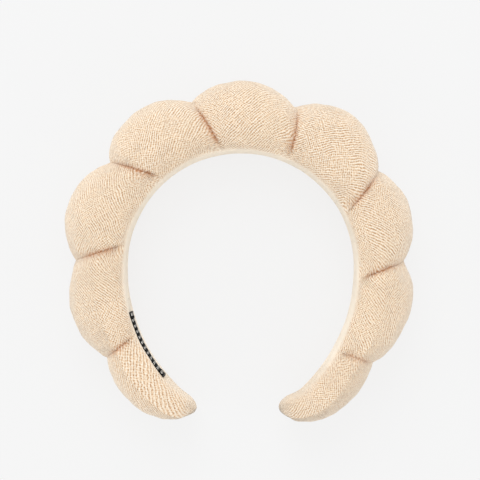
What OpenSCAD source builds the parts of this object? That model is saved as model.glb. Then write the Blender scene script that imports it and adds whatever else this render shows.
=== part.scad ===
// Puffy spa headband: a springy hoop inside a soft terry sleeve that is stuffed with foam
// and gathered with thread into nine puffs. It lies flat: +Z is up, +Y points to the crown
// and the open ends point to -Y. Sizes are in millimetres.

/* [Head opening] */
// Radius of the inner face over the crown and the sides
ring_r = 62; // [60:0.5:64]
// Radius of the flatter inner face along both arms
arm_r = 90; // [88:0.5:94]

/* [Puffs] */
// Thickness of the band, which is its height when it lies flat
puff_t = 42; // [40:0.5:44]
// Turn about the ring's middle from one puff to the next
puff_pitch = 35.5; // [35:0.1:36]
// Extra turn of the tail puffs
tail_turn = 2; // [1:0.1:3]
// Radius of the crown, upper and side puffs seen from above
puff_r = 34; // [33.5:0.1:35]
// Radius of the lower and tail puffs seen from above
low_puff_r = 36; // [35:0.1:37]
// How far the crown and upper puffs stand out from the ring
crown_reach = 39.5; // [38:0.1:41]
// How far the side puffs stand out from the ring
side_reach = 36; // [35:0.1:37]
// How far the lower puffs stand out from the ring
lower_reach = 33.5; // [32.5:0.1:34.5]
// How far the tail puffs stand out from the ring
tail_reach = 32; // [31:0.1:33]
// Rounding of the puffs' outer edges
bun_edge_r = 16; // [14:0.5:16.5]
// Height of the flat middle of the inner face
face_flat = 18; // [15:0.5:20]
// Rounding of the puffs' edges beside the inner face
edge_r = 14; // [13.5:0.5:16]
// Turn of each arm at which the tail is closed off
tip_turn = 58.5; // [57:0.5:59]

/* [Cover] */
// Thickness of the terry sleeve
cover_t = 1.6; // [1.2:0.1:2]
// Diameter of the gathering and seam threads
thread_d = 0.6; // [0.4:0.05:0.8]
// Length of each slip stitch of the closing seam
stitch_l = 3.2; // [2.5:0.1:4]
// Distance from one slip stitch to the next
stitch_pitch = 6; // [5:0.25:8]

/* [Hoop] */
// Width of the springy hoop
hoop_w = 13; // [11:0.5:14]
// Thickness of the springy hoop
hoop_t = 2; // [1.6:0.1:2.4]
// Turn of each arm at which the hoop ends
hoop_end_turn = 48; // [44:0.5:50]

/* [Flex] */
// Turn of the first hinge as the band opens
open_turn = 6; // [2:0.5:7]
// Turn of the first hinge as the band is squeezed
close_turn = 2; // [1:0.5:3]
// Share of the first hinge's turn that the second one makes
second_share = 0.83; // [0.6:0.01:1]
// Share of the first hinge's turn that the third one makes
third_share = 0.57; // [0.4:0.01:1]

/* [Label] */
// Length of the woven label along the left arm
label_l = 40; // [30:1:42]
// Width of the woven label, up the inner face and over its edge
label_w = 12; // [9:0.5:14]
// Thickness of the woven label
label_t = 0.4; // [0.3:0.05:0.5]
// Turn along the arm of the label's middle
label_turn = 29; // [27:0.5:30]

/* [Hidden] */
$fn = 96;

// Puffs from the crown down to the tail, with the same four on either side
PUFFS = ["crown", "upper", "side", "lower", "tail"];
SIDES = ["left", "right"];
HOOPS = ["crown", "upper", "side", "arm"];
CROWN = 0;
SIDE = 2;
LOWER = 3;
TAIL = 4;

puff_turns = [for (k = [CROWN:TAIL]) k * puff_pitch + (k == TAIL ? tail_turn : 0)];
puff_radii = [for (k = [CROWN:TAIL]) k < LOWER ? puff_r : low_puff_r];
puff_reaches = [crown_reach, crown_reach, side_reach, lower_reach, tail_reach];
puff_mids = [for (k = [CROWN:TAIL]) ring_r + puff_reaches[k] - puff_radii[k]];
valleys = [for (k = [CROWN:LOWER]) (puff_turns[k] + puff_turns[k + 1]) / 2];

// The hinges lie in the middle of the hoop, at the first three valleys of each side
hinge_r = ring_r + cover_t + hoop_t / 2;
hinge_shares = [1, second_share, third_share, 0];
face_gap = 0.15;
turn_spare = 0.3;
knuckle_proud = 0.15;
knuckle_r = hoop_t / 2 + knuckle_proud;
scoop_gap = 0.05;
pocket_gap = 0.4;

// Each arm is one arc, tangent to the ring at the third hinge
arm_start = valleys[SIDE];
arm_mid = ring_r - arm_r;
last_valley = arm_turn(valleys[LOWER]);

// The object's middle between the crown puff's top and the tail puffs' ends
crown_top = puff_mids[CROWN] + puff_r;
tail_end = low_puff_r - puff_mids[TAIL] * cos(puff_turns[TAIL]);
mid_y = (crown_top - tail_end) / 2;

// Gathering threads pass round the hoop; the closing seam runs below the label
gather_r = 6;
gather_half = 5;
gather_in = 0.5;
seam_z = -6.5;
label_low = 0.5;
tack_l = 1.6;
tack_count = 4;
tack_in = 1;

// A length and a turn that pass out of any puff
cut = 120;
run_turn = 120;

function per_side(kind, names) = [for (side = SIDES) for (name = names) str(kind, "_", side, "_", name)];
function tail_of(list) = [for (k = [1:len(list) - 1]) list[k]];

// Turn along the arm where the ring's turn meets the arm's inner face
function arm_turn(turn) =
    let (d = turn - arm_start)
    d - asin(-arm_mid * sin(d) / arm_r);

// Distance of the inner face from the ring's middle at valley v
function face_r(v) =
    v < LOWER ? ring_r : arm_r * sin(last_valley) / sin(valleys[v] - arm_start);

// ---- Places -------------------------------------------------------------------------

// Puts a shape made round the ring's middle into its place, mirrored for the left side
module placed(side) {
    translate([0, -mid_y, puff_t / 2])
        if (side == "left") mirror([1, 0, 0]) children();
        else children();
}

// Turns clockwise from the crown: +Y then points outwards and +X along the band
module turned(turn) {
    rotate([0, 0, -turn]) children();
}

// Moves to the middle of the arm's arc, facing where the arm starts
module on_arm() {
    turned(arm_start) translate([0, arm_mid, 0]) children();
}

// The arc that puff k lies on
module on_arc(k) {
    if (k < LOWER) children();
    else on_arm() children();
}

// ---- Shapes -------------------------------------------------------------------------

// Round pillow of radius r, flat in the middle of its top and bottom, smaller by inset
module bun(r, inset) {
    edge = bun_edge_r - inset;
    mid = r - bun_edge_r;
    side = puff_t / 2 - bun_edge_r;
    rotate_extrude() {
        translate([0, -side - edge]) square([mid, 2 * (side + edge)]);
        translate([0, -side]) square([mid + edge, 2 * side]);
        for (z = [-side, side]) translate([mid, z]) circle(edge);
    }
}

// Section of the room outside the inner face, with that face's two edges rounded
module band_section(r, inset) {
    edge = edge_r - inset;
    half = face_flat / 2 + edge;
    translate([r + inset + edge, -half]) square([cut, 2 * half]);
    translate([r + inset, -face_flat / 2]) square([cut, face_flat]);
    for (z = [-1, 1]) translate([r + edge_r, z * face_flat / 2]) circle(edge);
}

// Everything past valley v on the clockwise side, its face spreading from the hinge
module past_valley(v, inset) {
    open = hinge_shares[v] * open_turn / 2 + (hinge_shares[v] > 0 ? turn_spare : 0);
    close = hinge_shares[v] * close_turn / 2 + (hinge_shares[v] > 0 ? turn_spare : 0);
    face = inset + (hinge_shares[v] > 0 ? face_gap : 0);
    out = ring_r;
    in = hinge_r / 2;
    turned(valleys[v]) linear_extrude(cut, center = true) polygon([
        [-face, hinge_r],
        [-face - out * tan(open), hinge_r + out],
        [cut, hinge_r + out],
        [cut, hinge_r - in],
        [-face - in * tan(close), hinge_r - in]
    ]);
}

// The same on the other side of valley v
module before_valley(v, inset) {
    turned(2 * valleys[v]) mirror([1, 0, 0]) past_valley(v, inset);
}

// Cuts from puff k what belongs to its neighbours
module neighbours(k, inset) {
    if (k < TAIL) past_valley(k, inset);
    if (k == CROWN) mirror([1, 0, 0]) past_valley(CROWN, inset);
    else before_valley(k - 1, inset);
    if (k == TAIL) on_arm() turned(tip_turn)
        translate([-inset, 0, -cut / 2]) cube(cut);
}

// Puff k as a full shape, smaller all round by inset
module puff(k, inset) {
    difference() {
        intersection() {
            turned(puff_turns[k]) translate([0, puff_mids[k], 0]) bun(puff_radii[k], inset);
            on_arc(k) rotate_extrude() band_section(k < LOWER ? ring_r : arm_r, inset);
        }
        neighbours(k, inset);
    }
}

// Flat band on the arc of radius r, from one turn to another
module arc_band(r, t, w, from, to) {
    rotate_extrude(angle = to - from, start = 90 - to)
        translate([r, -w / 2]) square([t, w]);
}

// The hoop's full run past puff k
module hoop_run(k) {
    r = (k < LOWER ? ring_r : arm_r) + cover_t;
    on_arc(k) arc_band(r, hoop_t, hoop_w, -run_turn, run_turn);
}

// Moves to the middle of the hoop's thickness at valley v
module at_hinge(v) {
    turned(valleys[v]) translate([0, hinge_r, 0]) children();
}

// Room round the hoop's knuckles at the hinges beside puff k
module knuckle_pockets(k) {
    w = hoop_w + 2 * pocket_gap;
    if (k < LOWER) at_hinge(k) cylinder(r = knuckle_r + pocket_gap, h = w, center = true);
    if (k == CROWN) mirror([1, 0, 0]) at_hinge(CROWN)
        cylinder(r = knuckle_r + pocket_gap, h = w, center = true);
    else if (k < TAIL) at_hinge(k - 1)
        cylinder(r = knuckle_r + pocket_gap, h = w, center = true);
}

// Where the inner face of puff k starts and ends, as turns on its own arc
function face_start(k) =
    k == CROWN ? -valleys[CROWN]
    : k < LOWER ? valleys[k - 1]
    : k == LOWER ? 0
    : last_valley;
function face_end(k) =
    k < LOWER ? valleys[k]
    : k == LOWER ? last_valley
    : tip_turn;

// ---- Sub-parts ----------------------------------------------------------------------

// Length of springy plastic between two hinges, with a knuckle at its far end
module hoop_segment(k) {
    color("ivory") difference() {
        union() {
            arc_band(ring_r + cover_t, hoop_t, hoop_w, k == CROWN ? -valleys[k] : valleys[k - 1], valleys[k]);
            at_hinge(k) cylinder(r = knuckle_r, h = hoop_w, center = true);
            if (k == CROWN) mirror([1, 0, 0]) at_hinge(k)
                cylinder(r = knuckle_r, h = hoop_w, center = true);
        }
        if (k > CROWN) hoop_scoop(k - 1);
    }
}

// Hollow in a segment's near end, round the knuckle of the segment before it
module hoop_scoop(v) {
    at_hinge(v) cylinder(r = knuckle_r + scoop_gap, h = hoop_w + 2, center = true);
}

// Last length of the hoop, which runs down inside the arm to a rounded end
module hoop_arm() {
    color("ivory") difference() {
        union() {
            on_arm() arc_band(arm_r + cover_t, hoop_t, hoop_w, 0, hoop_end_turn);
            on_arm() turned(hoop_end_turn) translate([0, arm_r + cover_t + hoop_t / 2, 0])
                cylinder(r = knuckle_r, h = hoop_w, center = true);
        }
        hoop_scoop(SIDE);
    }
}

// Foam filling of puff k, with a slot for the hoop
module foam(k) {
    color("white") difference() {
        puff(k, cover_t);
        hoop_run(k);
        knuckle_pockets(k);
    }
}

// Terry cover of puff k, open where the hoop passes through and grooved for its thread
module cover(k) {
    color("bisque") difference() {
        puff(k, 0);
        puff(k, cover_t);
        hoop_run(k);
        knuckle_pockets(k);
        if (k < TAIL) gather_loop(k);
        if (k == CROWN) mirror([1, 0, 0]) gather_loop(k);
    }
}

// Loop of thread drawn tight round the band at valley v, sunk into the puff before it
module gather_loop(v) {
    shift = hinge_shares[v] > 0 ? face_gap : 0;
    tilt = hinge_shares[v] > 0 ? hinge_shares[v] * open_turn / 2 + turn_spare : 0;
    at_hinge(v) rotate([0, 0, tilt])
        translate([-shift - thread_d, face_r(v) + gather_in + gather_r - hinge_r, 0])
        rotate([90, 0, 90]) linear_extrude(thread_d) difference() {
            oblong(gather_r, gather_half);
            oblong(gather_r - thread_d, gather_half);
        }
}

// Outline with round ends of radius r, its straight sides reaching half up and half down
module oblong(r, half) {
    for (z = [-half, half]) translate([0, z]) circle(r);
    translate([-r, -half]) square([2 * r, 2 * half]);
}

// Gathering thread of valley v
module gather_thread(v) {
    color("wheat") gather_loop(v);
}

// Slip stitches that close the sleeve along the inner face of puff k
module seam(k) {
    r = k < LOWER ? ring_r : arm_r;
    run = face_end(k) - face_start(k);
    step = stitch_pitch / r * 180 / PI;
    count = floor(run / step) - 1;
    first = (face_start(k) + face_end(k) - (count - 1) * step) / 2;
    color("linen") on_arc(k) for (n = [0:count - 1])
        turned(first + n * step) translate([0, r, seam_z]) rotate([0, 90, 0])
            cylinder(d = thread_d, h = stitch_l, center = true, $fn = 24);
}

label_half_turn = label_l / arm_r * 90 / PI;
label_flat = face_flat / 2 - label_low;

// How far the face has rolled over at a distance up the label
function roll(up) = max(0, up - label_flat) / edge_r * 180 / PI;

// Woven label on the inner face of the left arm, its upper part rolled over the edge
module label() {
    top = face_flat / 2 + edge_r * sin(roll(label_w));
    color("black") on_arm()
        rotate_extrude(angle = 2 * label_half_turn, start = 90 - label_turn - label_half_turn)
        intersection() {
            difference() {
                band_section(arm_r, -label_t);
                band_section(arm_r, 0);
            }
            translate([arm_r - label_t, label_low]) square([edge_r, top - label_low]);
        }
}

// Short upright stitches that hold the label's two ends
module label_stitches() {
    color("dimgray") on_arm() for (end = [-1, 1]) for (n = [0:tack_count - 1]) {
        up = (n + 0.5) * label_w / tack_count;
        turned(label_turn + end * (label_half_turn - tack_in))
            translate([0, arm_r + edge_r, face_flat / 2]) rotate([-roll(up), 0, 0])
            translate([0, -edge_r - label_t, min(0, up - label_flat)])
            cylinder(d = thread_d / 2, h = tack_l, center = true, $fn = 24);
    }
}

// ---- Assembly -----------------------------------------------------------------------

placed("right") hoop_segment(CROWN);  // hoop_crown
placed("right") foam(CROWN);  // foam_crown
placed("right") cover(CROWN);  // cover_crown
placed("right") seam(CROWN);  // seam_crown

for (side = SIDES) {
    for (k = [1:SIDE])
        placed(side) hoop_segment(k);
    placed(side) hoop_arm();
    for (k = [1:TAIL]) {
        placed(side) foam(k);
        placed(side) cover(k);
        placed(side) seam(k);
        placed(side) gather_thread(k - 1);
    }
}

placed("left") label();
placed("left") label_stitches();
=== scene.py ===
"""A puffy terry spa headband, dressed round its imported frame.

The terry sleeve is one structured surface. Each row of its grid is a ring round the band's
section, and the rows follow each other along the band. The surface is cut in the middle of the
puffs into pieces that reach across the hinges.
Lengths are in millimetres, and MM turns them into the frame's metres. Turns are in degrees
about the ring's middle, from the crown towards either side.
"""

import math

import bpy
import numpy as np
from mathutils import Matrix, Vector


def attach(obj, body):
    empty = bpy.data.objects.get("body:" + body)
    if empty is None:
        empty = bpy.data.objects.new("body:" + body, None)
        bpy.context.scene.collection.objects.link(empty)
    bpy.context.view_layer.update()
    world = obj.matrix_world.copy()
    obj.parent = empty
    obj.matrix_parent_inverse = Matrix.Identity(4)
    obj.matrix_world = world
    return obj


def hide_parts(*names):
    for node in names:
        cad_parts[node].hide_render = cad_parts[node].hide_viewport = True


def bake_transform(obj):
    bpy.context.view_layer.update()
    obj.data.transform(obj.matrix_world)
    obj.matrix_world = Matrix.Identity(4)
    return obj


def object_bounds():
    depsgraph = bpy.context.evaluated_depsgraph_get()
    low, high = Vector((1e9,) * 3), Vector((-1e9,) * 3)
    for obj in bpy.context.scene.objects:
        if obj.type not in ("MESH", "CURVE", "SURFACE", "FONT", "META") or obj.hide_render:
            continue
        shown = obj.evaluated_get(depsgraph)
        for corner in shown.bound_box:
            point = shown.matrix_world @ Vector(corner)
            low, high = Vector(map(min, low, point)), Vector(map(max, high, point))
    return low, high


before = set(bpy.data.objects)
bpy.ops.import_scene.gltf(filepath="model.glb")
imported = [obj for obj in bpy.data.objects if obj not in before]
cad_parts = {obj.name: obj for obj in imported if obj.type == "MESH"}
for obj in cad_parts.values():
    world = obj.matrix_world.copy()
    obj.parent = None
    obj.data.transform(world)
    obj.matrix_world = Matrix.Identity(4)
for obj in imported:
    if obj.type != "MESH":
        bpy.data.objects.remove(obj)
cad_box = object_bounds()

MM = 0.001

# ---- Driving dimensions, the same as the frame's ------------------------------------

RING_R = 62.0          # inner radius over the head
ARM_R = 90.0           # inner radius of the arms
HALF_T = 21.0          # half the band's thickness
CROWN_REACH = 39.5     # from the inner face to the crown's outer edge
PUFF_PITCH = 35.5      # turn from one puff to the next
TAIL_TURN = 2.0        # how much further on the tail lies
PUFFS = ("crown", "upper", "side", "lower", "tail")
BODIES = ("crown", "{}_upper", "{}_side", "{}_arm", "{}_arm")    # the body of each puff
SIGNS = {"right": 1, "left": -1}    # of x

PUFF_TURNS = [k * PUFF_PITCH for k in range(len(PUFFS))]
PUFF_TURNS[-1] += TAIL_TURN
VALLEYS = [(a + b) / 2 for a, b in zip(PUFF_TURNS, PUFF_TURNS[1:])]
HINGES = 3             # the first valleys are hinges, and the last one is rigid

ARM_START = VALLEYS[2]
ARM_MID = RING_R - ARM_R
MIDDLE = Vector((0, cad_box[1].y / MM - RING_R - CROWN_REACH, HALF_T))

# ---- The puffs, a little uneven as they were stuffed and gathered by hand ------------

# Turn, distance from the ring's middle and radius of each puff's round outline
OUTLINES = {
    "right": (
        (0.7, 64.5, 36.3),
        (36.3, 66.5, 35.0),
        (70.1, 63.8, 33.3),
        (106.3, 57.0, 38.3),
        (143.8, 57.2, 36.8),
    ),
    "left": (
        (-0.7, 64.5, 36.3),
        (33.3, 67.8, 33.5),
        (68.6, 65.5, 33.7),
        (105.3, 58.0, 37.0),
        (142.5, 57.3, 37.2),
    ),
}
FACE_IN = 0.4          # how far the pile is pressed back from the frame's inner face
FACE_IN_ARM = 0.5      # and the same on the arms
FACE_SETTLES = 20.0    # length along the arm over which the one turns into the other
RIPPLES = ((46, 0.18), (31, 0.15), (21, 0.13), (14, 0.11), (9.5, 0.08), (7, 0.06))
RIPPLE_WAVES = 3       # crossing waves of each length and size above
FACE_EVEN = 0.9        # share of the ripples that the inner face is spared
FLOOR_GAP = 0.05       # how far the settled pile stays above the floor

# ---- The tails' ends ----------------------------------------------------------------

TIP_BULGE = {"right": 2.2, "left": 0.2}    # how far each tail's end bulges inwards
TIP_TURNS = {"right": 58.4, "left": 57.2}  # where each tail ends along its arm
BULGE_FROM = 0.45      # shares of the tail over which that bulge comes in
BULGE_OVER = 0.45
TIP_THINS = 0.5        # share of its height that a tail loses towards its end
TIP_THINS_POWER = 2.2
CAP = 8.0              # length of the rounded end
CAP_POWER = 2.2
CAP_LAST = 88          # angle of the last row along its quarter round, in degrees
TIP_W = 6.0            # least width that the rounded end closes

# ---- The sleeve's section -----------------------------------------------------------

FACE_FLAT = 9.0        # half the height of the flat inner face
FACE_ROUND = 20.0      # bounds how far the rounding beside the inner face reaches outwards
ROUND_SOFT = 12.0      # and makes it smaller in a narrow section
FACE_POWER = 2.2
RIM_POWER = 2.15
FACE_DEPTH = 3.0       # what lies this close to the inner face swells and holds the seam
FACE_SWELL = 0.18      # how far the pile stands proud of the seam's stitches
FACE_MARK_IN = 0.2     # the mark of the inner face, a smoother pile with a painted highlight, starts this far inside it
FACE_MARK_W = 1.5      # and fades out over this distance
SEAM_Z = -6.5
SEAM_DEPTH = 0.3
SEAM_HALF_W = 0.6

# ---- Creases ------------------------------------------------------------------------

CREASE_DEPTH = 2.7     # how far a puff's top has dropped in its creases
CREASE_POWER = 3.4
CREASE_ROUND = 0.25    # share of the drop that rounds over steeply
SLOPE_POWER = 7        # the rest slopes gently
CREASE_STARTS = 1.0    # the crease fades out between these distances from the inner face
CREASE_FULL = 8.5
# How far each crease swirls clockwise towards the inner face, and how late it bends
SWIRLS = {
    "right": ((5.6, 3.0), (9.0, 1.2), (10.0, 0.9), (3.0, 1.0)),
    "left": ((8.5, 1.3), (11.0, 1.2), (9.6, 1.1), (5.0, 1.0)),
}
SWIRL_FADE = 1.6       # how fast the swirl dies away towards the puffs' middles
CREASE_SHADE_W = 1.1           # half width of the painted shade, a brown darkening in a crease
CREASE_SHADE_RIM = 0.35        # share of the reach over which the painted shade fades at the rim
GATHER_END = 20.0      # distance round the section of each crease's inner end
GATHER_W = 6.5         # how far from there the cloth's ribs turn square to the crease

# ---- Pleats beside the creases ------------------------------------------------------

PLEAT_DEPTH = 0.3
PLEAT_COUNT = 34
PLEAT_TOP = 30.0       # distances from the inner face of the foci that they run round
PLEAT_END = 5.0
PLEAT_SHIFT = 1.3      # how much the pleats on a crease's two sides are out of step
PLEAT_WANDER = 0.8     # unevenness of the pleats, and its waves per millimetre
PLEAT_WANDER_RATE = 0.44
PLEAT_SPREAD = 0.7     # how far they reach from the crease, along the hyperbolas
PLEAT_FAN = 0.4        # share of the way round the crease's inner end where they come in
PLEAT_IN = 1.0         # they fade out from this far inside the inner face
PLEAT_FADE = 4.0       # over this distance outwards
PLEAT_LOW = 9.0        # and below this height

# ---- Mesh density -------------------------------------------------------------------

ROWS = 46              # between the middle of a puff and its crease
TIP_ROWS = 50          # past the tail's middle
COLS = 340             # round the section
CROWDING = 0.6         # how much closer the rows lie beside a crease
FINE_STEPS = 6001      # points that measure the section
MEETING_STEPS = 2001   # places tried for the meeting of two outlines

# ---- The knit -----------------------------------------------------------------------

RIB_PITCH = 1.22
LOOP_PITCH = 1.05
COARSE_PITCH = 2.1     # the left tail's knit is stretched coarser
RIB_TURN = math.radians(46)
CLOTH_STEP = 61.0      # keeps the knit of one puff apart from the next one's
WANDER = 3.8           # how far the ribs and loops stray over a long way
JITTER = 0.6           # and from one to the next
COARSE_STRAY = 1.6
COARSE_SHARE = 0.6     # how much of the left tail's relief is the coarse one
GRAIN_SHARE = 0.35     # how much of the relief is single loops without order
FACE_HIGHLIGHT_FADE = 0.85       # how much of its smoother pile and painted highlight the inner face loses towards the tips
FACE_HIGHLIGHT_FADE_L = 25.0

# ---- The label ----------------------------------------------------------------------

LABEL_L = 40.0
LABEL_W = 12.0
LABEL_TURN = 29.0      # turn of its middle along the arm's arc
LABEL_LOW = 0.5        # its lower edge above the middle of the inner face
LABEL_T = 0.4          # thickness of the strip
LABEL_CLEAR = 0.06     # gap between the label and the pile
FOLD_L = 3.5           # each end is folded under by this much
FOLD_T = 0.3           # and stands up by this much more
FOLD_EDGE = 0.8        # length of the step beside a fold
EDGE_W = 0.4           # pale woven edge
WARP_PITCH = 0.34
WEFT_PITCH = 0.3
SQUARE_W = 1.4
SQUARE_PITCH = 3.2
SQUARE_ROWS = (2.0, 5.7, 9.4)    # lower edges of the rows of squares

# ---- Stitches -----------------------------------------------------------------------

THREAD_R = 0.22
SEAM_SINK = 0.1        # how deep the seam's stitches lie in their groove
STITCH_L = 3.2
STITCH_PITCH = 6.0
SEAM_END = 8.0         # distance from the last stitch to a tail's end
TACK_R = 0.18
TACK_L = 1.7
TACKS = 7
TACK_IN = 1.0          # distance from the tacks to the label's end
STITCH_RISE = 0.6      # height of a stitch above the cloth, in thread radii
STITCH_DIP = 2.6       # and how much lower its two ends are
TUBE_SIDES = 8
STITCH_POINTS = 9

# ---- The studio ---------------------------------------------------------------------

VIEW_W = 260.5         # width of the view at the band's middle height
VIEW_MID = (-0.4, 5.2)
CAMERA_H = 650.0
NEAREST = 0.01         # the camera's near limit, in metres
FLOOR_HALF = 3.0       # half the floor's width, in metres
FLOOR_GREY = 0.12
FLOOR_GLOW = 0.785
ROOM_COLOUR = (0.98, 0.99, 1.0, 1)
ROOM_LIGHT = 0.84
# Place in metres, width in metres and power in watts of each softbox
SOFTBOXES = {
    "key": ((-0.2, 0.9, 1.1), 0.9, 5.4),
    "behind": ((-0.1, 1.4, 0.35), 0.8, 3.8),
    "front": ((0.2, -1.3, 0.4), 0.8, 2.9),
    "left": ((-1.3, -0.2, 0.35), 0.8, 2.5),
    "right": ((1.3, -0.3, 0.35), 0.8, 1.9),
}


# ---- Places along the band ----------------------------------------------------------


def smooth(x):
    """Soft step from 0 to 1."""
    x = np.clip(x, 0, 1)
    return x * x * (3 - 2 * x)


def heading(turn):
    """Outward direction at a clockwise turn from the crown."""
    a = np.radians(turn)
    return np.stack([np.sin(a), np.cos(a)], -1)


def arm_turn(turn):
    """Turn along the arm's arc where the ring's turn meets it."""
    d = math.radians(turn - ARM_START)
    return math.degrees(d - math.asin(-ARM_MID * math.sin(d) / ARM_R))


def along(turn):
    """Length along the inner face from the crown to a turn."""
    if turn <= ARM_START:
        return RING_R * math.radians(turn)
    return RING_R * math.radians(ARM_START) + ARM_R * math.radians(arm_turn(turn))


ARM_CENTRE = ARM_MID * heading(ARM_START)
ARM_S = along(ARM_START)
TIP_S = {side: ARM_S + ARM_R * math.radians(turn) for side, turn in TIP_TURNS.items()}
LABEL_MID_S = ARM_S + ARM_R * math.radians(LABEL_TURN)


def base_line(s):
    """Points on the inner face and outward directions at the lengths s, on the right side."""
    on_arm = s > ARM_S
    turn = np.where(on_arm, ARM_START + np.degrees((s - ARM_S) / ARM_R), np.degrees(s / RING_R))
    out = heading(turn)
    return np.where(on_arm[..., None], ARM_CENTRE + ARM_R * out, RING_R * out), out


def reach(s, side, k):
    """How far puff k's round outline stands out from the inner face at the lengths s."""
    turn, mid, radius = OUTLINES[side][k]
    start, out = base_line(s)
    to_mid = mid * heading(turn) - start
    ahead = (to_mid * out).sum(-1)
    aside = (to_mid ** 2).sum(-1) - ahead ** 2
    return ahead + np.sqrt(np.maximum(radius ** 2 - aside, 0))


def meeting(side, k, low, high):
    """Length at which the outlines of puffs k and k + 1 meet."""
    s = np.linspace(low, high, MEETING_STEPS)
    return s[np.argmin(np.abs(reach(s, side, k) - reach(s, side, k + 1)))]


# Lengths of each side's puff middles and creases along the inner face
MID_S = {side: [0.0] + [along(puff[0]) for puff in OUTLINES[side][1:]] for side in OUTLINES}
CREASE_S = {
    side: [meeting(side, k, mids[k], mids[k + 1]) for k in range(len(VALLEYS))]
    for side, mids in MID_S.items()
}

# ---- The section --------------------------------------------------------------------


def half_section(u):
    """The upper half of the section from the rim (0) to the middle of the inner face (1):
    how far each point lies towards the rim, towards the face, upwards and down the face."""
    quarter = np.pi / 2
    rim = np.clip(u * 3, 0, 1) * quarter
    side = np.clip(u * 3 - 1, 0, 1) * quarter
    flat = np.clip(u * 3 - 2, 0, 1)
    on_rim = u < 1 / 3
    out = np.where(on_rim, np.cos(rim) ** (2 / RIM_POWER), 0)
    inwards = np.where(on_rim, 0, np.sin(side) ** (2 / FACE_POWER))
    rise = np.where(on_rim, np.sin(rim) ** (2 / RIM_POWER), np.cos(side) ** (2 / FACE_POWER))
    return out, inwards, rise, flat


def section(u, rim, face, height):
    """Points of the upper half section, as distance outwards and height."""
    out, inwards, rise, flat = half_section(u)
    width = rim - face
    middle = face + FACE_ROUND * width / (width + ROUND_SOFT)
    n = middle + (rim - middle) * out - (middle - face) * inwards
    flat_z = FACE_FLAT * height / HALF_T
    above_flat = flat_z + (height - flat_z) * rise
    z = np.where(u < 1 / 3, height * rise, above_flat) - flat_z * flat
    return n, z


def even_columns():
    """Column parameters evenly spaced round a full puff's section, from the inner face over the
    top to the rim and back underneath, their side (1 or -1) and their distances."""
    u = np.linspace(0, 1, FINE_STEPS)
    n, z = section(u, CROWN_REACH, 0.0, HALF_T)
    length = np.concatenate([[0], np.cumsum(np.hypot(np.diff(n), np.diff(z)))])
    places = np.interp(np.linspace(0, length[-1], COLS // 2 + 1), length, u)
    top = places[::-1]
    under = places[1:-1]
    up = np.concatenate([np.ones(len(top)), -np.ones(len(under))])
    return np.concatenate([top, under]), up, np.linspace(0, 2 * length[-1], COLS + 1)


# Every column's parameter and side, and its distance round the section
COLUMN_U, COLUMN_UP, ROUND = even_columns()


# ---- One side's grid ----------------------------------------------------------------


def half_puff_rows():
    """Distances from a crease, as shares of the way to the middle of the puff."""
    a = np.linspace(0, 1, ROWS + 1)
    return (1 - CROWDING) * a + CROWDING * a * a


def side_rows(side):
    """Length, puff, distance from the crease, share of the way from the crease to the puff's
    middle, and crease of each row. Past the last middle that share stays 1."""
    rows = []
    shares = half_puff_rows()[:-1]
    mids = MID_S[side]
    last = len(VALLEYS) - 1
    for k, crease in enumerate(CREASE_S[side]):
        for share in (1.0, *shares[:0:-1]):
            gap = (crease - mids[k]) * share
            rows.append((crease - gap, k, gap, share, k))
        for share in shares:
            gap = (mids[k + 1] - crease) * share
            rows.append((crease + gap, k + 1, gap, share, k))
    cap_start = TIP_S[side] - CAP
    body = cap_start - mids[-1]
    cap = np.linspace(0, math.radians(CAP_LAST), TIP_ROWS // 2)
    tail = [mids[-1] + body * a for a in np.linspace(0, 1, TIP_ROWS, endpoint=False)]
    tail += [cap_start + CAP * math.sin(g) for g in cap]
    rows += [(s, last + 1, s - CREASE_S[side][last], 1.0, last) for s in tail]
    return rows


def row_sizes(side, s, puff):
    """Each row's reach, inner face, half height and how far the tail's end has closed it."""
    rim = np.zeros(s.shape)
    for k in range(len(PUFFS)):
        rim[puff == k] = reach(s[puff == k], side, k)
    tail_start = MID_S[side][-1]
    after_mid = np.clip((s - tail_start) / (TIP_S[side] - tail_start), 0, 1)
    inset = FACE_IN + (FACE_IN_ARM - FACE_IN) * smooth((s - ARM_S) / FACE_SETTLES)
    bulge = smooth((after_mid - BULGE_FROM) / BULGE_OVER)
    face = inset * (1 - bulge) - TIP_BULGE[side] * bulge
    height = HALF_T * (1 - TIP_THINS * after_mid ** TIP_THINS_POWER)
    into_cap = np.clip((s - TIP_S[side]) / CAP + 1, 0, 1)
    cap = (1 - into_cap ** CAP_POWER) ** (1 / CAP_POWER)
    return np.maximum(rim, face + TIP_W), face, height, cap


def crease_drop(share):
    """How far a puff's top has dropped at a share of the way from its crease to its middle."""
    round_over = 1 - (1 - (1 - share) ** CREASE_POWER) ** (1 / CREASE_POWER)
    slope = (1 - share) ** SLOPE_POWER
    return CREASE_DEPTH * (CREASE_ROUND * round_over + (1 - CREASE_ROUND) * slope)


def swirl_offset(side, crease, share, out_share):
    """How far the creases and the cloth beside them swirl round along the inner face."""
    size, late = (np.array([pair[i] for pair in SWIRLS[side]])[crease] for i in (0, 1))
    return size * (1 - out_share ** late) * (1 - share) ** SWIRL_FADE


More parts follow.
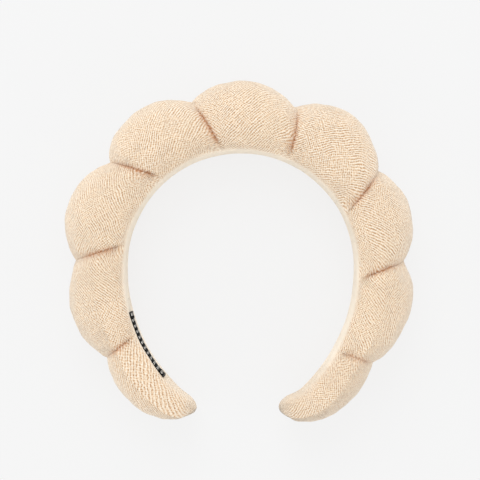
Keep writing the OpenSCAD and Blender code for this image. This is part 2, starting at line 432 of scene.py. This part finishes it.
def side_grid(side):
    """One side's grid from the crown to the tip, as named arrays with a value for every row
    or every point: places, relief to add, and the marks that the material reads."""
    sign = SIGNS[side]
    s, puff, gap, share, crease = (np.array(values)[:, None] for values in zip(*side_rows(side)))
    rim, face, height, cap = row_sizes(side, s, puff)

    n, z = section(COLUMN_U, rim, face, height)
    centre = (rim + face) / 2
    n = centre + (n - centre) * cap
    z = z * cap
    fade = smooth((n - CREASE_STARTS) / (CREASE_FULL - CREASE_STARTS))
    z = z * (1 - crease_drop(share) * fade / HALF_T) * COLUMN_UP

    out_share = np.clip(n / rim, 0, 1)
    offset = swirl_offset(side, crease, share, out_share) * RING_R / (RING_R + n)
    start, out = base_line(s + sign * offset)
    xy = start + out * n[..., None]
    gap = gap * (1 + n / RING_R)
    # Mask of the inner face: it spares the face the ripples, and through the face mark it smooths
    # the pile and carries a painted highlight
    facing = 1 - smooth((n - face + FACE_MARK_IN) / FACE_MARK_W)
    # Painted shade: a brown darkening along each crease, fading towards the inner face and the
    # rim
    crease_shade = np.exp(-gap / CREASE_SHADE_W) * fade * smooth((1 - out_share) / CREASE_SHADE_RIM) * (share < 1)
    between = (share < 1) & (puff < len(PUFFS) - 1)
    return {
        "points": np.concatenate([xy * (sign, 1), z[..., None]], -1),
        "crease": crease_shade,
        "facing": facing,
        "relief": pleats(n, z, gap, np.where(puff > crease, 1, -1)) + face_relief(n - face, z),
        "gather": gather_weight(gap) * between,
        "puff": sign * puff[:, 0],
        "lengths": s[:, 0],
    }


def face_relief(n, z):
    """Relief of the inner face: its pile stands proud, with a groove for the closing seam."""
    groove = SEAM_DEPTH * np.exp(-((z - SEAM_Z) / SEAM_HALF_W) ** 2)
    return (n < FACE_DEPTH) * (FACE_SWELL - groove)


def gather_weight(gap):
    """How much the cloth's ribs turn square to the crease: fully at its two inner ends."""
    from_face = np.minimum(ROUND[:-1], ROUND[-1] - ROUND[:-1])
    return np.exp(-(gap ** 2 + (from_face - GATHER_END) ** 2) / GATHER_W ** 2)


def pleats(n, z, gap, hand):
    """Relief of the fine pleats that start square to a crease and fan out round its inner end.
    They follow the hyperbolas whose foci are the crease's two ends."""
    middle, half = (PLEAT_TOP + PLEAT_END) / 2, (PLEAT_TOP - PLEAT_END) / 2
    field = np.arccosh(((n - middle) + 1j * gap) / half)
    away, angle = np.abs(field.real), np.abs(field.imag)
    inner = smooth((angle / np.pi - PLEAT_FAN) / PLEAT_FAN)
    wander = PLEAT_WANDER * np.sin(PLEAT_WANDER_RATE * gap)
    wave = np.sin(angle * PLEAT_COUNT + PLEAT_SHIFT * hand + wander)
    near = np.exp(-(away / PLEAT_SPREAD) ** 2)
    off_face = smooth((n + PLEAT_IN) / PLEAT_FADE) * smooth(np.abs(z) / PLEAT_LOW)
    return PLEAT_DEPTH * wave * inner * near * off_face


# ---- The whole grid -----------------------------------------------------------------


def whole_grid():
    """Both sides joined at the crown into one grid from the left tip to the right tip."""
    left, right = side_grid("left"), side_grid("right")
    return {key: np.concatenate([left[key][:0:-1], right[key]]) for key in right}


def ripple(points):
    """Slow unevenness of the stuffing, from a few crossing waves."""
    rng = np.random.default_rng(7)
    total = np.zeros(points.shape[:-1])
    for length, size in RIPPLES:
        for _ in range(RIPPLE_WAVES):
            way = rng.normal(size=3)
            way /= np.linalg.norm(way)
            phase = rng.uniform(0, 6.3)
            total += size * np.sin(points @ way * 2 * np.pi / length + phase)
    return total


def unit(vectors):
    """The same directions with length 1."""
    return vectors / np.maximum(np.linalg.norm(vectors, axis=-1, keepdims=True), 1e-12)


def grid_normals(points):
    """Outward vertex normals of the grid, whose columns close on themselves."""
    down = np.diff(points, axis=0)
    ring = np.roll(points, -1, axis=1) - points
    faces = unit(np.cross(down, ring[:-1]))
    faces = faces + np.roll(faces, 1, axis=1)
    full = np.zeros_like(points)
    full[:-1] += faces
    full[1:] += faces
    return unit(full)


def settle(grid):
    """Adds the relief and the ripples, flattens what would reach under the floor, and keeps
    the normals of the settled surface."""
    shift = grid["relief"] + ripple(grid["points"]) * (1 - FACE_EVEN * grid["facing"])
    points = grid["points"] + grid_normals(grid["points"]) * shift[..., None]
    points[..., 2] = np.maximum(points[..., 2], FLOOR_GAP - HALF_T)
    grid["points"] = points
    grid["normals"] = grid_normals(points)


# ---- The knit's coordinates ---------------------------------------------------------


def weave_u(points, signed_puff):
    """Position along the cloth of each puff."""
    turn = np.array([math.copysign(PUFF_TURNS[abs(p)], p) for p in signed_puff])
    a = np.radians(turn)[:, None]
    along_puff = points[..., 0] * np.cos(a) - points[..., 1] * np.sin(a)
    return along_puff + CLOTH_STEP * signed_puff[:, None]


def gathered(u, v, weight, u_end):
    """Cloth coordinates shifted so that the ribs run square to a crease near its inner ends."""
    cos, sin = math.cos(RIB_TURN), math.sin(RIB_TURN)
    from_end = np.where(v < ROUND[-1] / 2, v - GATHER_END, v - ROUND[-1] + GATHER_END)
    shift = weight * (from_end * (1 - cos) + (u - u_end) * sin)
    return np.stack([u - sin * shift, v + cos * shift], -1)


def corner_uv(points, gather, crease, owner):
    """Cloth coordinates of each face's four corners: along the puff, and round the section."""
    end_col = int(np.argmin(np.abs(ROUND - GATHER_END)))
    u_end = weave_u(crease[None, end_col:end_col + 1], owner)
    low, high = slice(0, -1), slice(1, None)
    corners = []
    for rows, turn in ((low, 0), (high, 0), (high, 1), (low, 1)):
        u = weave_u(np.roll(points[rows], -turn, axis=1), owner)
        v = np.broadcast_to(ROUND[turn:COLS + turn], u.shape)
        weight = np.roll(gather[rows], -turn, axis=1)
        corners.append(gathered(u, v, weight, u_end))
    return np.stack(corners, 2)


# ---- The sleeve's pieces ------------------------------------------------------------


def add_object(name, mesh, material):
    """An object of a mesh with one material, in the scene."""
    made = bpy.data.objects.new(name, mesh)
    bpy.context.scene.collection.objects.link(made)
    made.data.materials.append(material)
    return made


def set_cloth(mesh, places):
    """Gives a mesh's corners their places on the cloth."""
    layer = mesh.uv_layers.new(name="cloth")
    layer.data.foreach_set("uv", places.astype(np.float32).ravel())


def make_piece(name, grid, rows, uv, end, material):
    """A mesh from a block of grid rows. end is -1 or 1 where a tail's tip closes it."""
    points, normals = grid["points"][rows], grid["normals"][rows]
    count, cols = points.shape[:2]
    index = np.arange(count * cols).reshape(count, cols)
    right = np.roll(index, -1, axis=1)
    quads = np.stack([index[:-1], index[1:], right[1:], right[:-1]], -1).reshape(-1, 4)
    verts = ((points + MIDDLE) * MM).reshape(-1, 3)
    faces = quads.tolist()
    places = uv.reshape(-1, 2)
    shading = normals.reshape(-1, 3)
    if end:
        row = -1 if end > 0 else 0
        verts = np.concatenate([verts, (points[row].mean(0)[None] + MIDDLE) * MM])
        pole = len(verts) - 1
        faces += [[int(b), int(a), pole][::end] for a, b in zip(index[row], right[row])]
        tip = uv[row].mean((0, 1))
        places = np.concatenate([places, np.tile(tip, (cols * 3, 1))])
        shading = np.concatenate([shading, unit(normals[row].mean(0))[None]])
    mesh = bpy.data.meshes.new(name)
    mesh.from_pydata(verts.tolist(), [], faces)
    set_cloth(mesh, places)
    # crease carries the painted crease shade, face the inner face's smoother pile and painted
    # highlight
    for key in ("crease", "face", "coarse"):
        values = grid[key][rows].reshape(-1)
        values = np.concatenate([values, np.zeros(len(verts) - len(values))])
        attribute = mesh.attributes.new(key, "FLOAT", "POINT")
        attribute.data.foreach_set("value", values.astype(np.float32))
    mesh.shade_smooth()
    mesh.normals_split_custom_set_from_vertices(shading.tolist())
    return add_object(name, mesh, material)


def sleeve_piece(grid, side, k, material):
    """The piece that reaches across crease k, from one puff's middle to the next or the tip."""
    sign = SIGNS[side]
    crown_row = len(grid["puff"]) // 2
    near = k * 2 * ROWS
    is_tail = k == len(VALLEYS) - 1
    far = crown_row if is_tail else near + 2 * ROWS
    first, last = sorted((crown_row + sign * near, crown_row + sign * far))
    rows = slice(first, last + 1)
    owner = grid["puff"][rows]
    owner = owner[:-1] if sign > 0 else owner[1:]
    crease = grid["points"][crown_row + sign * (near + ROWS)]
    uv = corner_uv(grid["points"][rows], grid["gather"][rows], crease, owner)
    name = f"sleeve_{side}_{PUFFS[k]}_{PUFFS[k + 1]}"
    return make_piece(name, grid, rows, uv, sign if is_tail else 0, material)


def face_lengths(points):
    """Length along the middle of the inner face from the crown to each row."""
    steps = np.linalg.norm(np.diff(points[:, 0], axis=0), axis=-1)
    return np.concatenate([[0], np.cumsum(steps)])


def build_sleeve(material):
    """The sleeve's pieces, and each side's surface to sew on: its points, its normals and its
    rows' lengths along the inner face."""
    grid = whole_grid()
    settle(grid)
    # The inner face's mark, a smoother pile and a painted highlight, fades mostly out past the
    # label towards the tips
    fade = 1 - FACE_HIGHLIGHT_FADE * smooth((grid["lengths"] - LABEL_MID_S) / FACE_HIGHLIGHT_FADE_L)
    grid["face"] = grid["facing"] * fade[:, None]
    on_left_tail = (grid["puff"] == 1 - len(PUFFS)) * 1.0
    grid["coarse"] = np.broadcast_to(on_left_tail[:, None], grid["face"].shape)
    pieces = [
        (sleeve_piece(grid, side, k, material), side, k)
        for side in SIGNS
        for k in range(len(VALLEYS))
    ]
    crown_row = len(grid["puff"]) // 2
    surfaces = {}
    for side, sign in SIGNS.items():
        rows = slice(crown_row, None, sign)
        points = grid["points"][rows]
        surfaces[side] = (points, grid["normals"][rows], face_lengths(points))
    return pieces, surfaces


# ---- Materials ----------------------------------------------------------------------


class Nodes:
    """Short names for making a material's nodes."""

    def __init__(self, name):
        self.material = bpy.data.materials.new(name)
        self.material.use_nodes = True
        self.tree = self.material.node_tree
        self.tree.nodes.clear()
        self.shader = self.node("BsdfPrincipled")
        end = self.node("OutputMaterial")
        self.link(self.shader.outputs[0], end.inputs["Surface"])

    def link(self, a, b):
        """Joins an output to an input."""
        self.tree.links.new(a, b)

    def node(self, kind, **settings):
        """A new node with some of its settings."""
        made = self.tree.nodes.new("ShaderNode" + kind)
        for key, value in settings.items():
            setattr(made, key, value)
        return made

    def put(self, socket, value):
        """Links another node's output to a socket, or sets the socket itself."""
        if isinstance(value, bpy.types.NodeSocket):
            self.link(value, socket)
        else:
            socket.default_value = value

    def set(self, **values):
        """Sets the shader's own sockets."""
        for key, value in values.items():
            self.put(self.shader.inputs[key.replace("_", " ")], value)

    def math(self, operation, a, b=0.0, c=0.0):
        """One step of arithmetic."""
        made = self.node("Math", operation=operation)
        for socket, value in zip(made.inputs, (a, b, c)):
            self.put(socket, value)
        return made.outputs[0]

    def mark(self, name):
        """A number that the mesh carries at its points."""
        return self.node("Attribute", attribute_name=name).outputs["Fac"]

    def cloth(self):
        """The place on the cloth, and its two parts."""
        place = self.node("UVMap", uv_map="cloth").outputs[0]
        split = self.node("SeparateXYZ")
        self.link(place, split.inputs[0])
        return place, split.outputs[0], split.outputs[1]

    def noise(self, vector, scale, detail=2.0):
        """Soft noise from 0 to 1."""
        made = self.node("TexNoise")
        self.put(made.inputs["Vector"], vector)
        made.inputs["Scale"].default_value = scale
        made.inputs["Detail"].default_value = detail
        return made.outputs[0]

    def around(self, noise, span):
        """A noise about 0, its whole range as wide as span."""
        return self.math("MULTIPLY", self.math("SUBTRACT", noise, 0.5), span)

    def wave(self, place, pitch):
        """Ridges from 0 to 1, a pitch apart."""
        turned = self.math("MULTIPLY", place, 2 * math.pi / pitch)
        return self.math("MULTIPLY_ADD", self.math("SINE", turned), 0.5, 0.5)

    def near(self, place, middle, half):
        """1 where a number lies within half of the middle, else 0."""
        away = self.math("ABSOLUTE", self.math("SUBTRACT", place, middle))
        return self.math("LESS_THAN", away, half)

    def smooth_map(self, value, low, high, to_low=0.0, to_high=1.0):
        """Soft step from one number to another."""
        made = self.node("MapRange", interpolation_type="SMOOTHSTEP")
        for socket, given in zip(made.inputs, (value, low, high, to_low, to_high)):
            self.put(socket, given)
        return made.outputs[0]

    def blend(self, share, a, b):
        """Mix of two numbers."""
        made = self.node("Mix", data_type="FLOAT")
        for socket, value in zip((made.inputs[0], made.inputs[2], made.inputs[3]), (share, a, b)):
            self.put(socket, value)
        return made.outputs[0]

    def mix(self, share, a, b):
        """Mix of two colours."""
        made = self.node("Mix", data_type="RGBA")
        for socket, value in zip((made.inputs[0], made.inputs[6], made.inputs[7]), (share, a, b)):
            self.put(socket, value)
        return made.outputs[2]

    def ramp(self, value, *stops):
        """Colours along a number."""
        made = self.node("ValToRGB")
        marks = made.color_ramp.elements
        while len(marks) < len(stops):
            marks.new(0.5)
        for mark, (place, colour) in zip(marks, stops):
            mark.position = place
            mark.color = colour
        self.link(value, made.inputs[0])
        return made.outputs[0]

    def bump(self, height, strength, distance):
        """Fine relief on the shader's surface."""
        made = self.node("Bump")
        made.inputs["Strength"].default_value = strength
        made.inputs["Distance"].default_value = distance
        self.put(made.inputs["Height"], height)
        self.link(made.outputs[0], self.shader.inputs["Normal"])


def linear(c):
    """Linear share of light from a usual colour number, 0 to 255."""
    c = c / 255
    return c / 12.92 if c <= 0.04045 else ((c + 0.055) / 1.055) ** 2.4


def srgb(r, g, b):
    """Linear colour from the usual colour numbers."""
    return (linear(r), linear(g), linear(b), 1.0)


def knit_height(m, cloth, u, v):
    """Slanting ribs crossed by a fainter row of loops, both a little uneven, from 0 to 1."""
    cos, sin = math.cos(RIB_TURN), math.sin(RIB_TURN)
    wander = m.around(m.noise(cloth, scale=0.07), WANDER)
    jitter = m.around(m.noise(cloth, scale=0.42, detail=1.0), JITTER)
    across = m.math("ADD", m.math("MULTIPLY", u, -sin), m.math("MULTIPLY", v, cos))
    down = m.math("ADD", m.math("MULTIPLY", u, cos), m.math("MULTIPLY", v, sin))
    across = m.math("ADD", m.math("ADD", across, wander), jitter)
    down = m.math("ADD", m.math("SUBTRACT", down, wander), jitter)

    loop_share = m.smooth_map(m.noise(cloth, scale=0.09), 0.40, 0.64, 0.16, 0.66)
    knit = m.blend(loop_share, m.wave(across, RIB_PITCH), m.wave(down, LOOP_PITCH))
    unsteady = m.around(m.noise(cloth, scale=0.3, detail=1.0), COARSE_STRAY)
    stretched = m.wave(m.math("ADD", down, unsteady), COARSE_PITCH)
    knit = m.blend(m.math("MULTIPLY", m.mark("coarse"), COARSE_SHARE), knit, stretched)
    grain = m.smooth_map(m.noise(cloth, scale=1.05), 0.32, 0.68)
    return m.blend(GRAIN_SHARE, knit, grain)


def terry_material():
    """Knitted terry in warm cream, with painted shade in the creases and a painted inner-face
    highlight.
    """
    m = Nodes("terry")
    cloth, u, v = m.cloth()
    face = m.mark("face")
    pile = m.blend(m.math("MULTIPLY", face, 0.25), knit_height(m, cloth, u, v), 0.85)
    hollow, pale, bright = srgb(180, 130, 86), srgb(237, 210, 178), srgb(253, 242, 224)
    colour = m.ramp(pile, (0.1, hollow), (0.45, pale), (0.8, bright))
    broad = m.smooth_map(m.noise(cloth, scale=0.03), 0.3, 0.7, 0.0, 0.14)
    colour = m.mix(broad, colour, srgb(232, 200, 164))
    broken = m.smooth_map(m.noise(cloth, scale=0.8), 0.35, 0.6, 0.35, 1.0)
    # Painted shade: the creases are darkened to brown, broken up by noise
    colour = m.mix(m.math("MULTIPLY", m.mark("crease"), broken), colour, srgb(186, 116, 64))
    # Painted highlight: the inner face is lightened towards near white
    colour = m.mix(m.math("MULTIPLY", face, 0.9), colour, srgb(255, 243, 225))
    m.set(Base_Color=colour, Roughness=0.95, Specular_IOR_Level=0.15)
    m.set(Sheen_Weight=1.0, Sheen_Roughness=0.5, Sheen_Tint=srgb(255, 246, 232))
    m.bump(pile, 0.9, 0.5 * MM)
    return m.material


def thread_material(name, colour):
    """Twisted sewing thread."""
    m = Nodes(name)
    place = m.node("TexCoord").outputs["Object"]
    twist = m.node("TexWave", wave_type="BANDS", bands_direction="DIAGONAL")
    m.link(place, twist.inputs["Vector"])
    twist.inputs["Scale"].default_value = 900
    twist.inputs["Distortion"].default_value = 1.5
    lint = m.math("MULTIPLY_ADD", m.noise(place, scale=2500, detail=3.0), 0.3, 0.6)
    light = m.math("MULTIPLY", twist.outputs["Fac"], lint)
    dark = tuple(0.55 * c for c in colour[:3]) + (1,)
    m.set(Base_Color=m.mix(light, dark, colour), Roughness=0.7, Sheen_Weight=0.25)
    m.bump(twist.outputs["Fac"], 0.6, 0.1 * MM)
    return m.material


def plastic_material():
    """Ivory plastic of the hoop, a little cloudy with fine moulding grain."""
    m = Nodes("hoop_plastic")
    place = m.node("TexCoord").outputs["Object"]
    cloud = m.noise(place, scale=60, detail=3.0)
    grain = m.noise(place, scale=1800)
    m.set(Base_Color=m.mix(cloud, srgb(226, 220, 205), srgb(243, 238, 226)))
    m.set(Roughness=m.smooth_map(grain, 0.3, 0.7, 0.32, 0.5))
    m.bump(grain, 0.15, 0.05 * MM)
    return m.material


def label_material():
    """Black satin ribbon with pale woven edges and plain rows of small squares."""
    m = Nodes("label_weave")
    _, along_it, up_it = m.cloth()
    slant = m.math("ADD", along_it, m.math("MULTIPLY", up_it, 0.5))
    weave = m.math("MULTIPLY", m.wave(slant, WARP_PITCH), m.wave(up_it, WEFT_PITCH))
    black = m.mix(weave, srgb(4, 4, 5), srgb(20, 20, 21))
    pale = m.mix(weave, srgb(206, 203, 198), srgb(252, 250, 246))
    from_middle = m.math("ABSOLUTE", m.math("SUBTRACT", up_it, LABEL_W / 2))
    woven = m.math("GREATER_THAN", from_middle, LABEL_W / 2 - EDGE_W)
    step = m.math("FRACT", m.math("DIVIDE", along_it, SQUARE_PITCH))
    column = m.near(step, 0.5, SQUARE_W / SQUARE_PITCH / 2)
    for low in SQUARE_ROWS:
        row = m.near(up_it, low + SQUARE_W / 2, SQUARE_W / 2)
        woven = m.math("MAXIMUM", woven, m.math("MULTIPLY", row, column))
    m.set(Base_Color=m.mix(woven, black, pale), Roughness=0.7, Specular_IOR_Level=0.03)
    m.bump(weave, 0.5, 0.06 * MM)
    return m.material


# ---- The label ----------------------------------------------------------------------


def build_label(surface, material):
    """The label as a thin strip that follows the pile, folded under at both ends."""
    points, normals, lengths = surface
    rows = np.where(np.abs(lengths - LABEL_MID_S) < LABEL_L / 2)[0]
    height = ROUND[:COLS // 2]
    cols = np.where((height > LABEL_LOW) & (height < LABEL_LOW + LABEL_W))[0]
    block = points[np.ix_(rows, cols)]
    out = normals[np.ix_(rows, cols)]
    along_it = lengths[rows] - lengths[rows][0]
    up_it = height[cols] - height[cols][0]
    from_end = np.minimum(along_it, along_it[-1] - along_it)
    thick = LABEL_T + FOLD_T * (1 - smooth((from_end - FOLD_L) / FOLD_EDGE))
    under = block + out * LABEL_CLEAR
    over = block + out * (LABEL_CLEAR + thick)[:, None, None]
    return strip_solid("label_strip", under, over, along_it, up_it, material)


def strip_solid(name, under, over, along_it, up_it, material):
    """Closed thin solid between two grids of points."""
    rows, cols = under.shape[:2]
    index = np.arange(rows * cols).reshape(rows, cols)
    corners = (index[:-1, :-1], index[1:, :-1], index[1:, 1:], index[:-1, 1:])
    quads = np.stack(corners, -1).reshape(-1, 4)
    count = rows * cols
    rim = np.concatenate([index[0, :-1], index[:-1, -1], index[-1, :0:-1], index[:0:-1, 0]])
    after = np.roll(rim, -1)
    walls = np.stack([rim, after, after + count, rim + count], -1)
    faces = np.concatenate([quads, quads[:, ::-1] + count, walls])
    verts = (np.concatenate([under.reshape(-1, 3), over.reshape(-1, 3)]) + MIDDLE) * MM
    place = np.stack(np.meshgrid(along_it, up_it, indexing="ij"), -1).reshape(-1, 2)
    mesh = bpy.data.meshes.new(name)
    mesh.from_pydata(verts.tolist(), [], faces.tolist())
    set_cloth(mesh, np.concatenate([place, place])[faces.ravel()])
    mesh.shade_smooth()
    mesh.set_sharp_from_angle(angle=math.radians(50))
    return add_object(name, mesh, material)


# ---- Stitches -----------------------------------------------------------------------


def between_points(at, known, values):
    """Values in three columns at some places between the known ones."""
    return np.stack([np.interp(at, known, values[:, i]) for i in range(3)], -1)


def run_along(surface, s, height):
    """Places and outward directions at the lengths s, at one distance round the section."""
    points, normals, lengths = surface
    col = int(np.argmin(np.abs(ROUND[:-1] - height)))
    return [between_points(s, lengths, grid[:, col]) for grid in (points, normals)]


def run_up(surface, s, heights):
    """Places and outward directions at one length, at some distances round the section."""
    points, normals, lengths = surface
    row = int(np.argmin(np.abs(lengths - s)))
    return [between_points(heights, ROUND[:-1], grid[row]) for grid in (points, normals)]


def stitch(places, outs, radius, lift):
    """Rings of a short thread that comes out of the cloth and goes back in."""
    share = np.linspace(-1, 1, len(places))
    rise = lift + radius * (STITCH_RISE - STITCH_DIP * share ** 4)
    path = places + outs * rise[:, None]
    ahead = unit(np.gradient(path, axis=0))
    aside = unit(np.cross(ahead, outs))
    up = np.cross(aside, ahead)
    turn = np.linspace(0, 2 * np.pi, TUBE_SIDES, endpoint=False)[:, None]
    return path[:, None] + radius * (aside[:, None] * np.cos(turn) + up[:, None] * np.sin(turn))


def stitch_object(name, stitches, material):
    """One mesh of many closed stitches."""
    verts = []
    faces = []
    for rings in stitches:
        index = len(verts) + np.arange(rings.shape[0] * TUBE_SIDES).reshape(-1, TUBE_SIDES)
        around = np.roll(index, -1, axis=1)
        tube = np.stack([index[:-1], index[1:], around[1:], around[:-1]], -1)
        faces += tube.reshape(-1, 4).tolist()
        faces += [index[0].tolist(), index[-1][::-1].tolist()]
        verts += ((rings.reshape(-1, 3) + MIDDLE) * MM).tolist()
    mesh = bpy.data.meshes.new(name)
    mesh.from_pydata(verts, [], faces)
    mesh.shade_smooth()
    return add_object(name, mesh, material)


def seam_stitches(surface, start, end):
    """Slip stitches of the closing seam between two lengths."""
    height = ROUND[-1] + SEAM_Z
    count = round((end - start) / STITCH_PITCH)
    step = (end - start) / count
    half = np.linspace(-STITCH_L / 2, STITCH_L / 2, STITCH_POINTS)
    middles = [start + (i + 0.5) * step for i in range(count)]
    return [stitch(*run_along(surface, s + half, height), THREAD_R, -SEAM_SINK) for s in middles]


def label_tacks(surface):
    """Short upright stitches that hold the label's two ends."""
    half = np.linspace(-TACK_L / 2, TACK_L / 2, STITCH_POINTS)
    lift = LABEL_CLEAR + LABEL_T + FOLD_T
    made = []
    for end in (-1, 1):
        s = LABEL_MID_S + end * (LABEL_L / 2 - TACK_IN)
        for i in range(TACKS):
            height = LABEL_LOW + (i + 0.5) * LABEL_W / TACKS
            made.append(stitch(*run_up(surface, s, height + half), TACK_R, lift))
    return made


# ---- Putting it together ------------------------------------------------------------


def hold(piece, side, k):
    """Bakes the place of a piece across hinge k, or lets it ride on the arm past the last hinge.
    """
    if k < HINGES:
        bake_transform(piece)
    else:
        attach(piece, BODIES[-1].format(side))


def nodes_at(side, k, *kinds):
    """Names of the frame's nodes that the pieces at crease k take the place of."""
    puffs = [f"{side}_{PUFFS[k + 1]}"]
    if k == 0:
        puffs.append("crown")
    return [f"{kind}_{puff}" for kind in kinds for puff in puffs]


def dress_sleeve(surfaces, pieces, thread):
    """Holds the sleeve's pieces and sews the closing seam along them."""
    for piece, side, k in pieces:
        hold(piece, side, k)
        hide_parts(*nodes_at(side, k, "cover", "foam"))
        start = MID_S[side][k]
        end = MID_S[side][k + 1] if k < HINGES else TIP_S[side] - SEAM_END
        rows = seam_stitches(surfaces[side], start, end)
        sewn = stitch_object(f"seam_stitches_{side}_{PUFFS[k]}_{PUFFS[k + 1]}", rows, thread)
        hold(sewn, side, k)
        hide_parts(*nodes_at(side, k, "seam"))


def dress_label(surface):
    """Lays the label on the left arm and tacks its two ends."""
    label = build_label(surface, label_material())
    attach(label, "left_arm")
    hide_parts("label")
    dark_thread = thread_material("dark_thread", srgb(58, 56, 55))
    tacks = stitch_object("label_tacks", label_tacks(surface), dark_thread)
    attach(tacks, "left_arm")
    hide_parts("label_stitches")


def dress_nodes(kind, material):
    """Gives the frame's own nodes of one kind their material."""
    for name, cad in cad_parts.items():
        if name.startswith(kind):
            cad.data.materials.clear()
            cad.data.materials.append(material)


def dress():
    """The whole headband."""
    thread = thread_material("cotton_thread", srgb(255, 246, 230))
    plastic = plastic_material()
    pieces, surfaces = build_sleeve(terry_material())
    dress_sleeve(surfaces, pieces, thread)
    dress_label(surfaces["left"])
    dress_nodes("gather", thread)
    dress_nodes("hoop", plastic)


# ---- The studio ---------------------------------------------------------------------


def add_camera():
    """Camera straight above the band."""
    data = bpy.data.cameras.new("camera")
    data.lens = data.sensor_width * CAMERA_H / VIEW_W
    data.clip_start = NEAREST
    camera = bpy.data.objects.new("camera", data)
    camera.location = Vector((*VIEW_MID, HALF_T + CAMERA_H)) * MM
    bpy.context.scene.collection.objects.link(camera)
    bpy.context.scene.camera = camera


def add_floor():
    """Pale floor that glows a little, so that it stays nearly white."""
    m = Nodes("floor")
    grey = (FLOOR_GREY, FLOOR_GREY, FLOOR_GREY, 1)
    m.set(Base_Color=grey, Roughness=0.8, Specular_IOR_Level=0.0)
    m.set(Emission_Color=(1, 1, 1, 1), Emission_Strength=FLOOR_GLOW)
    mesh = bpy.data.meshes.new("floor")
    w = FLOOR_HALF
    mesh.from_pydata([(-w, -w, 0), (w, -w, 0), (w, w, 0), (-w, w, 0)], [], [(0, 1, 2, 3)])
    add_object("floor", mesh, m.material)


def add_room():
    """Even light from all round."""
    world = bpy.data.worlds.new("soft_room")
    world.use_nodes = True
    light = world.node_tree.nodes["Background"]
    light.inputs["Color"].default_value = ROOM_COLOUR
    light.inputs["Strength"].default_value = ROOM_LIGHT
    bpy.context.scene.world = world


def add_softbox(name, place, width, power):
    """Soft light that faces the middle of the scene."""
    light = bpy.data.lights.new(name, "AREA")
    light.size = width
    light.energy = power
    lamp = bpy.data.objects.new(name, light)
    bpy.context.scene.collection.objects.link(lamp)
    lamp.location = place
    lamp.rotation_mode = "QUATERNION"
    lamp.rotation_quaternion = (-Vector(place)).to_track_quat("-Z", "Y")


def studio():
    """Camera, floor and soft light from all sides, strongest from the upper left."""
    bpy.context.scene.view_settings.view_transform = "Standard"
    add_camera()
    add_floor()
    add_room()
    for name, (place, width, power) in SOFTBOXES.items():
        add_softbox(name, place, width, power)


studio()
dress()
